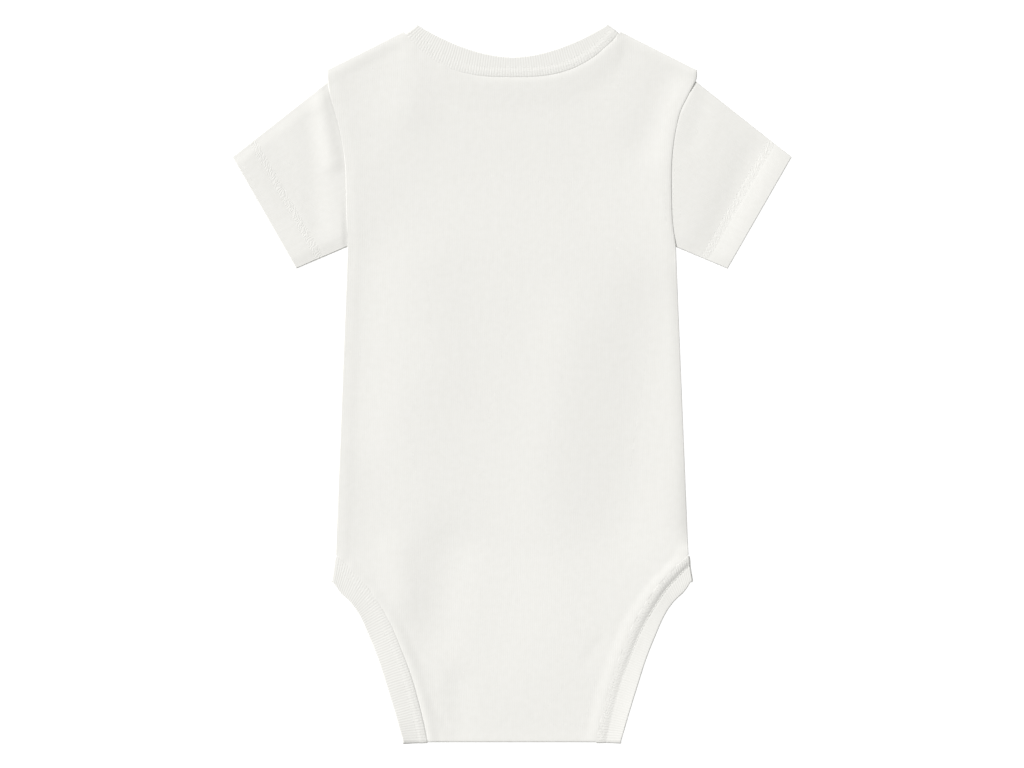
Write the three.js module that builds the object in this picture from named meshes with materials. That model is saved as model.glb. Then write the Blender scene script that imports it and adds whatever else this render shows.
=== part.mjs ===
// A short-sleeved baby bodysuit, laid flat on a surface with its back panel upwards.
// Millimetres. +Z is up, +Y points to the neck, and +X is the garment's side that lies to the right
// when it is seen from above. The origin is on the surface, under the middle of the outline.
// The layers, from the surface up: front panel, tail of the back panel (folded under at the crotch),
// back panel. Sleeves are flattened tubes, and folded rib bindings finish the neck and leg openings.
import * as THREE from "three";

const { lerp, smoothstep } = THREE.MathUtils;

// Cloth thicknesses and the clearance between sewn pieces
const WALL = 1.1;
const BINDING = 1.5;
const GAP = 0.3;

// Underside heights of the layers
const BACK_LEVEL = BINDING + GAP;
const SEAM_LEVEL = WALL + GAP;
const CROTCH_LEVEL = 2 * (BINDING + GAP);
const SNAP_LIFT = 0.8;
const TAIL_LEVEL = SNAP_LIFT + WALL + GAP;

// Neck opening: each curve is y = low + (top - low) * |x / half| ^ power
const BACK_NECK_SEAM = { half: 61.1, top: 202, low: 177.5, power: 2.9 };
const BACK_NECK_EDGE = { half: 54, top: 207.4, low: 189.4, power: 1.78 };
const FRONT_NECK_SEAM = { half: 61.1, top: 202, low: 141, power: 2.4 };
const FRONT_NECK_EDGE = { half: 54, top: 207.4, low: 152.6, power: 2.2 };
const NECK_SEGMENTS = 14;
const NECK_FOLD = new THREE.Vector3(0.595, 0.803, 0);

// Shoulder seam, from the neck binding to the armhole
const SHOULDER = { neckX: 63.1, neckY: 204, tipX: 107.2, tipY: 181.8 };

// Armhole edge of the back panel: half widths on both sides, which lie a little unevenly
const ARMHOLE = [
  { y: 181.8, right: 107.2, left: 107.2 },
  { y: 176, right: 106.6, left: 106.8 },
  { y: 167, right: 102.1, left: 105.4 },
  { y: 158, right: 97.8, left: 103.0 },
  { y: 148, right: 95.2, left: 100.2 },
  { y: 137, right: 93.4, left: 98.0 },
  { y: 125, right: 92.5, left: 96.6 },
  { y: 110, right: 92.5, left: 96.2 },
  { y: 95, right: 93.0, left: 95.9 },
  { y: 80, right: 94.9, left: 95.3 },
];
const UNDERARM_Y = 80;
const SLEEVE_TUCK = 2.5;
const SLEEVE_RISE = 1.3;

// Side seam, straight from the underarm to the leg opening
const HIP = { x: 102.2, y: -98.7 };

// Back leg opening, from the side seam to the crotch fold: seam of the binding and its free edge
const BACK_LEG = [
  { seamX: 101.1, seamY: -99.9, edgeX: 103.4, edgeY: -114.9 },
  { seamX: 95.4, seamY: -105.0, edgeX: 99.9, edgeY: -120.1 },
  { seamX: 86.7, seamY: -113.7, edgeX: 93.6, edgeY: -126.3 },
  { seamX: 78.0, seamY: -125.3, edgeX: 88.8, edgeY: -133.2 },
  { seamX: 70.2, seamY: -138.6, edgeX: 83.3, edgeY: -145.2 },
  { seamX: 63.5, seamY: -154.3, edgeX: 77.4, edgeY: -160.1 },
  { seamX: 57.7, seamY: -169.9, edgeX: 72.7, edgeY: -174.8 },
  { seamX: 53.9, seamY: -183.3, edgeX: 68.6, edgeY: -187.9 },
  { seamX: 50.7, seamY: -196.5, edgeX: 65.4, edgeY: -198.9 },
  { seamX: 48.7, seamY: -206.3, edgeX: 63.2, edgeY: -206.3 },
];

// Front leg opening, cut further in than the back one
const FRONT_LEG = [
  { seamX: 101.1, seamY: -99.9, edgeX: 103.4, edgeY: -114.9 },
  { seamX: 92.4, seamY: -105.2, edgeX: 96.9, edgeY: -119.8 },
  { seamX: 81.5, seamY: -114.5, edgeX: 89.2, edgeY: -127.3 },
  { seamX: 71.5, seamY: -126.8, edgeX: 82.6, edgeY: -136.6 },
  { seamX: 62.5, seamY: -141.8, edgeX: 75.8, edgeY: -148.3 },
  { seamX: 55.5, seamY: -158.5, edgeX: 69.6, edgeY: -163.2 },
  { seamX: 50.0, seamY: -176.0, edgeX: 64.5, edgeY: -179.4 },
  { seamX: 46.6, seamY: -191.0, edgeX: 61.3, edgeY: -193.2 },
  { seamX: 45.0, seamY: -203.2, edgeX: 60.0, edgeY: -203.4 },
];
const HIP_FOLD = new THREE.Vector3(0.988, 0.152, 0);
const CROTCH_FOLD = new THREE.Vector3(0, -1, 0);
const LEG_SEGMENTS = 12;

// Tail of the back panel, folded under at the crotch and lying on the front flap
const TAIL_END = { seamX: 46.0, edgeX: 60.2, y: -172 };
const TAIL_SEGMENTS = 4;

// Sleeve: the fold along its top and the seam along its underside, from armhole to hem
const SLEEVE_TOP = { startY: 177.1, hemX: 162.1, hemY: 131.6 };
const SLEEVE_UNDERSIDE = { startY: 80.5, hemX: 124.9, hemY: 66.8 };
const SLEEVE_SLIT = 0.5;
const HEM_WALL = 1.7;
const HEM_DEPTH = 17.5;

// Snap fasteners in the front flap
const SNAP = { radius: 4.8, height: 0.5, spacing: 23, y: -193.5, sides: 16 };

// Soft ridges (positive) and troughs (negative) of the back panel, along straight runs
const BACK_PLATEAU = 0.8;
const BACK_FOLDS = [
  { x1: -80, y1: 112, x2: -83, y2: -40, height: -0.7, width: 13 },
  { x1: 66, y1: 66, x2: 69, y2: -80, height: -0.8, width: 17 },
  { x1: -33, y1: -58, x2: -45, y2: -158, height: -0.6, width: 11 },
  { x1: -66, y1: 176, x2: -72, y2: 140, height: 0.5, width: 9 },
  { x1: 74, y1: 182, x2: 84, y2: 128, height: -0.5, width: 8 },
  { x1: 4, y1: -20, x2: -2, y2: -112, height: 0.4, width: 15 },
];
const SLEEVE_FOLDS = {
  right: [{ x1: 117, y1: 150, x2: 108, y2: 96, height: 0.6, width: 8 }],
  left: [{ x1: -112, y1: 164, x2: -102, y2: 92, height: 0.9, width: 6 }],
};

// Value of a table's column at a place in another column, smooth through the rows
function smoothColumn(rows, by, key, at) {
  const falling = rows[0][by] > rows[rows.length - 1][by];
  const before = (row) => (falling ? row[by] > at : row[by] < at);
  const last = rows.length - 2;
  const i = Math.min(Math.max(rows.filter(before).length - 1, 0), last);
  const slope = (k) => {
    const a = rows[Math.max(k - 1, 0)];
    const b = rows[Math.min(k + 1, rows.length - 1)];
    return (b[key] - a[key]) / (b[by] - a[by]);
  };
  const span = rows[i + 1][by] - rows[i][by];
  const t = Math.min(Math.max((at - rows[i][by]) / span, 0), 1);
  const rise = 3 * t * t - 2 * t * t * t;
  const start = t * (1 - t) * (1 - t) * span * slope(i);
  const end = t * t * (t - 1) * span * slope(i + 1);
  return lerp(rows[i][key], rows[i + 1][key], rise) + start + end;
}

// Smooth curve through the points that a pair of a table's columns gives
function tableCurve(rows, x, y) {
  const points = rows.map((row) => new THREE.Vector3(row[x], row[y], 0));
  return new THREE.CatmullRomCurve3(points, false, "centripetal");
}

function neckPoint(curve, t) {
  const y = curve.low + (curve.top - curve.low) * Math.abs(t) ** curve.power;
  return new THREE.Vector3(curve.half * t, y, 0);
}

// The same point moved off the binding's seam, into the panel
function neckPanelPoint(curve, t) {
  const depth = curve.top - curve.low;
  const slope = (depth * curve.power * Math.sign(t) * Math.abs(t) ** (curve.power - 1)) / curve.half;
  const off = new THREE.Vector3(slope, -1, 0).setLength(GAP);
  return neckPoint(curve, t).add(off);
}

// Point of a leg opening's panel edge, moved off the binding's seam into the panel
function legPanelPoint(rows, t) {
  const seam = tableCurve(rows, "seamX", "seamY").getPoint(t);
  const edge = tableCurve(rows, "edgeX", "edgeY").getPoint(t);
  return seam.clone().add(seam.clone().sub(edge).setLength(GAP));
}

// Even steps along the neck, closer together towards the shoulders
const neckShare = (s) => Math.sin((s * Math.PI) / 2);

function distanceToRun(run, x, y) {
  const dx = run.x2 - run.x1;
  const dy = run.y2 - run.y1;
  const along = ((x - run.x1) * dx + (y - run.y1) * dy) / (dx * dx + dy * dy);
  const t = Math.min(Math.max(along, 0), 1);
  return Math.hypot(x - run.x1 - t * dx, y - run.y1 - t * dy);
}

function foldHeight(folds, x, y) {
  const one = (run) => run.height * Math.exp(-((distanceToRun(run, x, y) / run.width) ** 2));
  return folds.reduce((sum, run) => sum + one(run), 0);
}

// Half width of the body at height y, down to the start of the leg opening
function sideX(side, y) {
  if (y > UNDERARM_Y) return smoothColumn(ARMHOLE, "y", side, y);
  const underarm = ARMHOLE[ARMHOLE.length - 1][side];
  return lerp(underarm, HIP.x, (UNDERARM_Y - y) / (UNDERARM_Y - HIP.y));
}

function shoulderY(x) {
  const t = (Math.abs(x) - SHOULDER.neckX) / (SHOULDER.tipX - SHOULDER.neckX);
  return lerp(SHOULDER.neckY, SHOULDER.tipY, t);
}

// Height of the back panel's underside
function backBottom(x, y) {
  const side = x > 0 ? "right" : "left";
  const half = y > HIP.y ? sideX(side, y) : smoothColumn(BACK_LEG, "seamY", "seamX", y);
  const inside = half - Math.abs(x);
  const share = Math.min(Math.abs(x) / BACK_NECK_SEAM.half, 1);
  const belowNeck = neckPoint(BACK_NECK_SEAM, share).y - y;
  const belowShoulder = shoulderY(x) - y;
  const belowTop = Math.abs(x) > BACK_NECK_SEAM.half ? belowShoulder : belowNeck;
  const crotch = smoothstep(-y, 138, 164);
  const fade = smoothstep(inside, 3, 26) * smoothstep(belowTop, 2, 24) * (1 - crotch);
  const folds = Math.max(0, BACK_PLATEAU + foldHeight(BACK_FOLDS, x, y)) * fade;
  const armhole = smoothstep(y, 58, 70) * (1 - smoothstep(inside, 5, 20));
  const level = BACK_LEVEL + folds + SLEEVE_RISE * armhole + (CROTCH_LEVEL - BACK_LEVEL) * crotch;
  const shoulderRoll = Math.abs(x) > BACK_NECK_SEAM.half ? 1 - smoothstep(belowShoulder, 0, 4) : 0;
  const onSide = smoothstep(y, -98, -88) * (1 - smoothstep(y, 50, 66));
  const sideRoll = (1 - smoothstep(inside, 0, 5)) * onSide;
  return lerp(level, SEAM_LEVEL, Math.max(shoulderRoll, sideRoll));
}

// Joins rings of points into one closed surface. A looped set of rings closes on itself; an open one
// is capped by joining each point of an end ring to its partner across the ring.
function skin(rings, looped) {
  const n = rings[0].length;
  const positions = rings.flat().flatMap((p) => [p.x, p.y, p.z]);
  const faces = [];
  const quad = (a, b, c, d) => faces.push(a, b, c, a, c, d);
  const spans = looped ? rings.length : rings.length - 1;
  for (let i = 0; i < spans; i += 1) {
    const here = i * n;
    const next = ((i + 1) % rings.length) * n;
    for (let j = 0; j < n; j += 1) {
      const k = (j + 1) % n;
      quad(here + j, here + k, next + k, next + j);
    }
  }
  const cap = (start, turned) => {
    for (let j = 0; j < n / 2 - 1; j += 1) {
      const corners = [start + j, start + n - 1 - j, start + n - 2 - j, start + j + 1];
      quad(...(turned ? corners.reverse() : corners));
    }
  };
  if (!looped) {
    cap(0, false);
    cap((rings.length - 1) * n, true);
  }
  const geometry = new THREE.BufferGeometry();
  geometry.setAttribute("position", new THREE.Float32BufferAttribute(positions, 3));
  geometry.setIndex(faces);
  return facingOut(geometry);
}

// Turns every face round where the surface would point inwards
function facingOut(geometry) {
  const p = geometry.attributes.position;
  const index = geometry.index.array;
  const corner = (i) => new THREE.Vector3().fromBufferAttribute(p, index[i]);
  let volume = 0;
  for (let i = 0; i < index.length; i += 3) {
    volume += corner(i).dot(corner(i + 1).cross(corner(i + 2)));
  }
  if (volume < 0) {
    for (let i = 0; i < index.length; i += 3) {
      [index[i + 1], index[i + 2]] = [index[i + 2], index[i + 1]];
    }
  }
  geometry.computeVertexNormals();
  return geometry;
}

// A sheet of even thickness from rows of middle points, each with the direction of its outer face
function sheet(rows, wall) {
  const face = (row, out) => row.map((c) => c.at.clone().addScaledVector(c.out, (out * wall) / 2));
  return skin(rows.map((row) => [...face(row, 1), ...face(row, -1).reverse()]), false);
}

const UP = new THREE.Vector3(0, 0, 1);
const at = (x, y, z, out = UP) => ({ at: new THREE.Vector3(x, y, z), out });

// Shares of the way across a panel: the shoulders, with the neck curve between them
const SHOULDER_COLUMNS = 4;
const COLUMNS = NECK_SEGMENTS + 2 * SHOULDER_COLUMNS;

// The panel's top edge at a column: shoulder seam, neck seam, shoulder seam
function topEdge(neck, column) {
  const neckColumn = column - SHOULDER_COLUMNS - NECK_SEGMENTS / 2;
  const s = neckColumn / (NECK_SEGMENTS / 2);
  if (Math.abs(s) <= 1) {
    return neckPanelPoint(neck, neckShare(s));
  }
  const beyond = (Math.abs(neckColumn) - NECK_SEGMENTS / 2 - 1) / (SHOULDER_COLUMNS - 1);
  const x = lerp(SHOULDER.neckX, SHOULDER.tipX, beyond);
  return new THREE.Vector3(Math.sign(s) * x, shoulderY(x), 0);
}

// Rows of plan points from the shoulders down to a straight row across the panel
function yokeRows(neck, yokeY, edgeX, shares) {
  return shares.map((share) => {
    const row = [];
    for (let column = 0; column <= COLUMNS; column += 1) {
      const across = column / COLUMNS;
      const top = topEdge(neck, column);
      const bottomX = lerp(-edgeX("left", yokeY), edgeX("right", yokeY), across);
      const x = lerp(top.x, bottomX, share);
      const y = lerp(top.y, yokeY, share);
      const sideY = lerp(SHOULDER.tipY, yokeY, share);
      const straight = (side) => lerp(SHOULDER.tipX, edgeX(side, yokeY), share);
      const right = (edgeX("right", sideY) - straight("right")) * across;
      const left = (edgeX("left", sideY) - straight("left")) * (1 - across);
      row.push([x + right - left, y]);
    }
    return row;
  });
}

// One straight row of plan points
function straightRow(leftX, rightX, y) {
  return Array.from({ length: COLUMNS + 1 }, (_, i) => [lerp(-leftX, rightX, i / COLUMNS), y]);
}

function evenly(from, to, steps) {
  return Array.from({ length: steps + 1 }, (_, i) => lerp(from, to, i / steps));
}

const BACK_YOKE_Y = 150;
const YOKE_SHARES = [0, 0.07, 0.17, 0.32, 0.52, 0.75, 1];

function backPanel() {
  const plan = yokeRows(BACK_NECK_SEAM, BACK_YOKE_Y, sideX, YOKE_SHARES);
  for (const y of evenly(BACK_YOKE_Y, HIP.y, 22).slice(1)) {
    plan.push(straightRow(sideX("left", y), sideX("right", y), y));
  }
  for (const t of evenly(0, 1, LEG_SEGMENTS)) {
    const p = legPanelPoint(BACK_LEG, t);
    plan.push(straightRow(p.x, p.x, p.y));
  }
  const rows = plan.map((row) => row.map(([x, y]) => at(x, y, backBottom(x, y) + WALL / 2)));
  const foldRow = plan[plan.length - 1];
  const top = CROTCH_LEVEL + WALL / 2;
  const under = TAIL_LEVEL + WALL / 2;
  for (const angle of evenly(0, Math.PI, 6).slice(1)) {
    const out = UP.clone().multiplyScalar(Math.cos(angle)).addScaledVector(CROTCH_FOLD, Math.sin(angle));
    const centre = (top + under) / 2;
    const radius = (top - under) / 2;
    rows.push(foldRow.map(([x, y]) => at(x, y + radius * out.y, centre + radius * out.z, out)));
  }
  const down = UP.clone().negate();
  for (const share of evenly(0, 1, TAIL_SEGMENTS).slice(1)) {
    const half = lerp(foldRow[COLUMNS][0], TAIL_END.seamX - GAP, share);
    const y = lerp(foldRow[COLUMNS][1], TAIL_END.y, share);
    rows.push(straightRow(half, half, y).map(([x]) => at(x, y, under, down)));
  }
  return sheet(rows, WALL);
}

// The front panel's armhole keeps clear of the sleeve that is tucked under the back panel
function frontSideX(side, y) {
  const tucked = smoothstep(y, 76.5, 79.5) * (1 - smoothstep(y, 178, 181));
  return sideX(side, y) - (SLEEVE_TUCK + 2 * GAP) * tucked;
}

function frontPanel() {
  const yokeY = 118;
  const plan = yokeRows(FRONT_NECK_SEAM, yokeY, frontSideX, [0, 0.05, 0.16, 0.34, 0.55, 0.78, 1]);
  const armholeEnd = [110, 100, 90, 80.5, 79.5, 76.5];
  for (const y of [...armholeEnd, ...evenly(64, HIP.y, 8)]) {
    plan.push(straightRow(frontSideX("left", y), frontSideX("right", y), y));
  }
  for (const t of evenly(0, 1, LEG_SEGMENTS)) {
    const p = legPanelPoint(FRONT_LEG, t);
    plan.push(straightRow(p.x, p.x, p.y));
  }
  const lift = (x, y) => SNAP_LIFT * smoothstep(-y, 165, 182) * (1 - smoothstep(Math.abs(x), 31, 40));
  return sheet(plan.map((row) => row.map(([x, y]) => at(x, y, WALL / 2 + lift(x, y)))), WALL);
}

// Cross-section of a binding from its seam to its free edge. Relief is what stands up on the outside:
// the seam allowances inside make a low ridge, and the row of stitches beside it a groove.
const BINDING_SECTION = [
  { across: 0, half: 0.3, relief: 0 },
  { across: 0.05, half: 0.75, relief: 0.4 },
  { across: 0.34, half: 0.75, relief: 0.35 },
  { across: 0.43, half: 0.75, relief: -0.1 },
  { across: 0.92, half: 0.75, relief: 0 },
  { across: 1, half: 0.3, relief: 0 },
];

// One station of a binding: its seam point, its edge point, the outward direction and its relief
const station = (seam, edge, z, out, relief) => ({
  seam: new THREE.Vector3(seam.x, seam.y, z),
  edge: new THREE.Vector3(edge.x, edge.y, z),
  out,
  relief,
});

function bindingRing({ seam, edge, out, relief }) {
  const place = (row, height) => seam.clone().lerp(edge, row.across).addScaledVector(out, height);
  const outside = BINDING_SECTION.map((row) => place(row, row.half + relief * row.relief));
  const inside = BINDING_SECTION.map((row) => place(row, -row.half));
  return [...outside, ...inside.reverse()];
}

// Stations that carry a binding over a fold, from one layer's middle height to another's
function turnOver(seam, edge, towards, fromZ, toZ, fromRelief, toRelief) {
  const steps = 6;
  const radius = Math.abs(fromZ - toZ) / 2;
  const sign = Math.sign(fromZ - toZ);
  return evenly(0, Math.PI, steps)
    .slice(1, -1)
    .map((angle, i) => {
      const out = UP.clone().multiplyScalar(sign * Math.cos(angle)).addScaledVector(towards, Math.sin(angle));
      const shift = towards.clone().multiplyScalar(radius * Math.sin(angle));
      const z = (fromZ + toZ) / 2 + radius * out.z;
      const relief = lerp(fromRelief, toRelief, (i + 1) / steps);
      return station(seam.clone().add(shift), edge.clone().add(shift), z, out, relief);
    });
}

const DOWN = UP.clone().negate();
const LOWEST = BINDING / 2;
const mirrored = (v) => new THREE.Vector3(-v.x, v.y, v.z);

function neckBinding() {
  const upper = BACK_LEVEL + BINDING / 2;
  const shares = evenly(-1, 1, NECK_SEGMENTS).map(neckShare);
  const back = shares.map((t) =>
    station(neckPoint(BACK_NECK_SEAM, t), neckPoint(BACK_NECK_EDGE, t), upper, UP, 1),
  );
  const front = [...shares].reverse().map((t) =>
    station(neckPoint(FRONT_NECK_SEAM, t), neckPoint(FRONT_NECK_EDGE, t), LOWEST, DOWN, 0),
  );
  const seam = neckPoint(BACK_NECK_SEAM, 1);
  const edge = neckPoint(BACK_NECK_EDGE, 1);
  const right = turnOver(seam, edge, NECK_FOLD, upper, LOWEST, 1, 0);
  const left = turnOver(mirrored(seam), mirrored(edge), mirrored(NECK_FOLD), LOWEST, upper, 0, 1);
  return skin([...back, ...right, ...front, ...left].map(bindingRing), true);
}

function legBinding(side) {
  const level = (y) => lerp(BACK_LEVEL, CROTCH_LEVEL, smoothstep(-y, 138, 164)) + BINDING / 2;
  const shares = evenly(0, 1, LEG_SEGMENTS);
  const layer = (rows, z, out, relief) =>
    shares.map((t) => {
      const seam = tableCurve(rows, "seamX", "seamY").getPoint(t);
      const edge = tableCurve(rows, "edgeX", "edgeY").getPoint(t);
      return station(seam, edge, z(seam.y), out, relief);
    });
  const front = layer(FRONT_LEG, () => LOWEST, DOWN, 0).reverse();
  const back = layer(BACK_LEG, level, UP, 1);
  const hip = back[0];
  const crotch = back[back.length - 1];
  const tailZ = BACK_LEVEL + BINDING / 2;
  const overHip = turnOver(hip.seam, hip.edge, HIP_FOLD, LOWEST, hip.seam.z, 0, 1);
  const overCrotch = turnOver(crotch.seam, crotch.edge, CROTCH_FOLD, crotch.seam.z, tailZ, 1, 0);
  const tailSeam = new THREE.Vector3(TAIL_END.seamX, TAIL_END.y, 0);
  const tailEdge = new THREE.Vector3(TAIL_END.edgeX, TAIL_END.y, 0);
  const tail = evenly(0, 1, TAIL_SEGMENTS).map((t) =>
    station(crotch.seam.clone().lerp(tailSeam, t), crotch.edge.clone().lerp(tailEdge, t), tailZ, DOWN, 0),
  );
  const rings = [...front, ...overHip, ...back, ...overCrotch, ...tail].map(bindingRing);
  return skin(side === "left" ? rings.map((ring) => ring.map(mirrored)) : rings, false);
}

// Shares of the way across a sleeve, from the fold on its top to the seam on its underside, with
// how full its section is there
const SLEEVE_COLUMNS = [
  { across: 0, full: 0 },
  { across: 0.018, full: 0.8 },
  { across: 0.05, full: 1 },
  { across: 0.2, full: 1 },
  { across: 0.36, full: 1 },
  { across: 0.52, full: 1 },
  { across: 0.68, full: 1 },
  { across: 0.82, full: 1 },
  { across: 0.95, full: 1 },
  { across: 0.982, full: 0.8 },
  { across: 1, full: 0 },
];

// Places along a sleeve: 0 at the armhole, 1 at the hem's stitching and 2 at the hem fold
const SLEEVE_PLACES = [0, 0.2, 0.4, 0.6, 0.8, 1, 1.07, 2];

function sleeve(side) {
  const sign = side === "right" ? 1 : -1;
  const startEdge = (across) => {
    const y = lerp(SLEEVE_TOP.startY, SLEEVE_UNDERSIDE.startY, across);
    return [smoothColumn(ARMHOLE, "y", side, y) - SLEEVE_TUCK, y];
  };
  const hemEdge = (across) => [
    lerp(SLEEVE_TOP.hemX, SLEEVE_UNDERSIDE.hemX, across),
    lerp(SLEEVE_TOP.hemY, SLEEVE_UNDERSIDE.hemY, across),
  ];
  const plan = (across, place) => {
    const [startX, startY] = startEdge(across);
    const [hemX, hemY] = hemEdge(across);
    const length = Math.hypot(hemX - startX, hemY - startY);
    const stitching = 1 - HEM_DEPTH / length;
    const along = place < 1 ? place * stitching : lerp(stitching, 1, place - 1);
    const x = sign * lerp(startX, hemX, along);
    return { x, y: lerp(startY, hemY, along), fromArmhole: along * length };
  };
  const ring = (place, inner) => {
    const wall = place > 1 ? HEM_WALL : WALL;
    const height = 2 * wall + SLEEVE_SLIT;
    const inset = inner ? wall / 70 : 0;
    const half = height / 2 - (inner ? wall : 0);
    const point = ({ across, full }, up) => {
      const { x, y, fromArmhole } = plan(lerp(inset, 1 - inset, across), place);
      const clear = smoothstep(fromArmhole, 4, 14) * full;
      const raised = up > 0 ? foldHeight(SLEEVE_FOLDS[side], x, y) * clear : 0;
      return new THREE.Vector3(x, y, height / 2 + up * half * full + raised);
    };
    const top = SLEEVE_COLUMNS.map((column) => point(column, 1));
    const bottom = SLEEVE_COLUMNS.slice(1, -1).map((column) => point(column, -1));
    return [...top, ...bottom.reverse()];
  };
  const outer = SLEEVE_PLACES.map((place) => ring(place, false));
  const inner = SLEEVE_PLACES.map((place) => ring(place, true)).reverse();
  return skin([...outer, ...inner], true);
}

// A low round cap, flat underneath with rounded edges
function snapCap() {
  const { radius, height, sides } = SNAP;
  const profile = [
    [0, 0],
    [radius - 0.5, 0],
    [radius, 0.25],
    [radius - 0.2, height],
    [0, height],
  ].map(([r, z]) => new THREE.Vector2(r, z));
  return new THREE.LatheGeometry(profile, sides).rotateX(Math.PI / 2);
}

const jersey = new THREE.MeshStandardMaterial({ color: 0xf0f0eb, roughness: 0.95, metalness: 0 });
const rib = new THREE.MeshStandardMaterial({ color: 0xf1f1ec, roughness: 0.95, metalness: 0 });
const enamel = new THREE.MeshStandardMaterial({ color: 0xf4f4f0, roughness: 0.35, metalness: 0.2 });

const bodysuit = new THREE.Group();
function addPiece(name, geometry, material) {
  const mesh = new THREE.Mesh(geometry, material);
  mesh.name = name;
  bodysuit.add(mesh);
  return mesh;
}

addPiece("back_panel", backPanel(), jersey);
addPiece("front_panel", frontPanel(), jersey);
addPiece("right_sleeve", sleeve("right"), jersey);
addPiece("left_sleeve", sleeve("left"), jersey);
addPiece("neck_binding", neckBinding(), rib);
addPiece("right_leg_binding", legBinding("right"), rib);
addPiece("left_leg_binding", legBinding("left"), rib);
for (const place of [-1, 0, 1]) {
  const cap = addPiece(`snap_${place + 2}`, snapCap(), enamel);
  cap.position.set(place * SNAP.spacing, SNAP.y, 0);
}

export default bodysuit;
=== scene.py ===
import math
from functools import partial

import bpy
import numpy as np
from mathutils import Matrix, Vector, kdtree


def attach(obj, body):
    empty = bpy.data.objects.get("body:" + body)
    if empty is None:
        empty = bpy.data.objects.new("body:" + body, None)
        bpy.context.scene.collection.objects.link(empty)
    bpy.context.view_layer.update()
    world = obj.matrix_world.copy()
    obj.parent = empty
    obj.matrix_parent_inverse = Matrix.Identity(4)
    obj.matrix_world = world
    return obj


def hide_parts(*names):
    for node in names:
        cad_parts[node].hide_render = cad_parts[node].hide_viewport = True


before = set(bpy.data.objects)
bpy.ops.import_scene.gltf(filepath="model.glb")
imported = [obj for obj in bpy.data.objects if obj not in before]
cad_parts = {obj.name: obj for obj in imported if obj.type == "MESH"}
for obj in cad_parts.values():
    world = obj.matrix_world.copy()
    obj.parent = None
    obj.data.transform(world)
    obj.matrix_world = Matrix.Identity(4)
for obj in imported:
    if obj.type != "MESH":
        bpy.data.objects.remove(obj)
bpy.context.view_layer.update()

MM = 0.001


def table(columns, *rows):
    """Columns of numbers by name, from rows written one under the other."""
    return {name: np.array(values, float) for name, values in zip(columns.split(), zip(*rows))}


# Cloth thicknesses, the gap between pieces, and the undersides of the layers
WALL = 1.1
BINDING = 1.5
GAP = 0.3
BACK_LEVEL = BINDING + GAP
BACK_REST = 1.9
NECK_LEVEL = 2.0
SEAM_LEVEL = 1.8
SIDE_GAP = 0.1
CROTCH_LEVEL = 3.6
SNAP_LIFT = 0.8
TAIL_LEVEL = SNAP_LIFT + WALL + GAP

# At a binding's seam the panel reaches a little under the binding, whose edge sinks towards it over a
# short way. The two faces meet at one height.
SEAM_LAP = 0.25
SEAM_SINK = 0.3
SEAM_ROLL = 1.2
# The panel beside it sinks a little too, over a longer way
PANEL_SINK = 0.21
PANEL_ROLL = 3.5
# Away from a seam the panel comes to its own level over these ways, below the neck and beside a leg
NECK_FADE = 22
LEG_FADE = 8
BINDING_FACE = BINDING / 2 - 0.04

# Neck opening: each curve is y = low + (top - low) * |x / half| ** power
BACK_NECK_SEAM = dict(half=61.1, top=202, low=177.5, power=2.9)
BACK_NECK_EDGE = dict(half=54, top=207.4, low=189.4, power=1.78)
FRONT_NECK_SEAM = dict(half=61.1, top=202, low=141, power=2.4)
FRONT_NECK_EDGE = dict(half=54, top=207.4, low=152.6, power=2.2)
NECK_FOLD = np.array([0.595, 0.803, 0])

# Shoulder seam, from the neck binding to the armhole
SHOULDER = dict(neck_x=63.1, neck_y=204, tip_x=107.2, tip_y=181.8)

# Armhole edge of the back panel: half widths on both sides, which lie a little unevenly
ARMHOLE = table(
    "y right left",
    (181.8, 107.2, 107.2),
    (176, 106.6, 106.8),
    (167, 102.1, 105.4),
    (158, 97.8, 103.0),
    (148, 95.2, 100.2),
    (137, 93.4, 98.0),
    (125, 92.5, 96.6),
    (110, 92.5, 96.2),
    (95, 93.0, 95.9),
    (80, 94.9, 95.3),
)
UNDERARM_Y = 80
SLEEVE_TUCK = 2.5
# The back panel rises over the sleeve's seam and rolls down into it
ARMHOLE_RISE = dict(right=0.75, left=0.42)
ARMHOLE_RISE_WIDTH = 32
ARMHOLE_ROLL = dict(right=0.3, left=0.06)
ARMHOLE_ROLL_WIDTH = 1.8
# The side seams rise a little on the left and roll down on the right
SIDE_RISE = dict(right=-0.18, left=0.2)
SIDE_RISE_WIDTH = dict(right=2.5, left=10)

# Side seam, straight from the underarm to the leg opening
HIP = dict(x=102.2, y=-98.7)

# Leg openings, from the side seam to the crotch: seam of the binding and its free edge
BACK_LEG = table(
    "seam_x seam_y edge_x edge_y",
    (101.1, -99.9, 103.4, -114.9),
    (95.4, -105.0, 99.9, -120.1),
    (86.7, -113.7, 93.6, -126.3),
    (78.0, -125.3, 88.8, -133.2),
    (70.2, -138.6, 83.3, -145.2),
    (63.5, -154.3, 77.4, -160.1),
    (57.7, -169.9, 72.7, -174.8),
    (53.9, -183.3, 68.6, -187.9),
    (50.7, -196.5, 65.4, -198.9),
    (48.7, -206.3, 63.2, -206.3),
)
FRONT_LEG = table(
    "seam_x seam_y edge_x edge_y",
    (101.1, -99.9, 103.4, -114.9),
    (92.4, -105.2, 96.9, -119.8),
    (81.5, -114.5, 89.2, -127.3),
    (71.5, -126.8, 82.6, -136.6),
    (62.5, -141.8, 75.8, -148.3),
    (55.5, -158.5, 69.6, -163.2),
    (50.0, -176.0, 64.5, -179.4),
    (46.6, -191.0, 61.3, -193.2),
    (45.0, -203.2, 60.0, -203.4),
)
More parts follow.
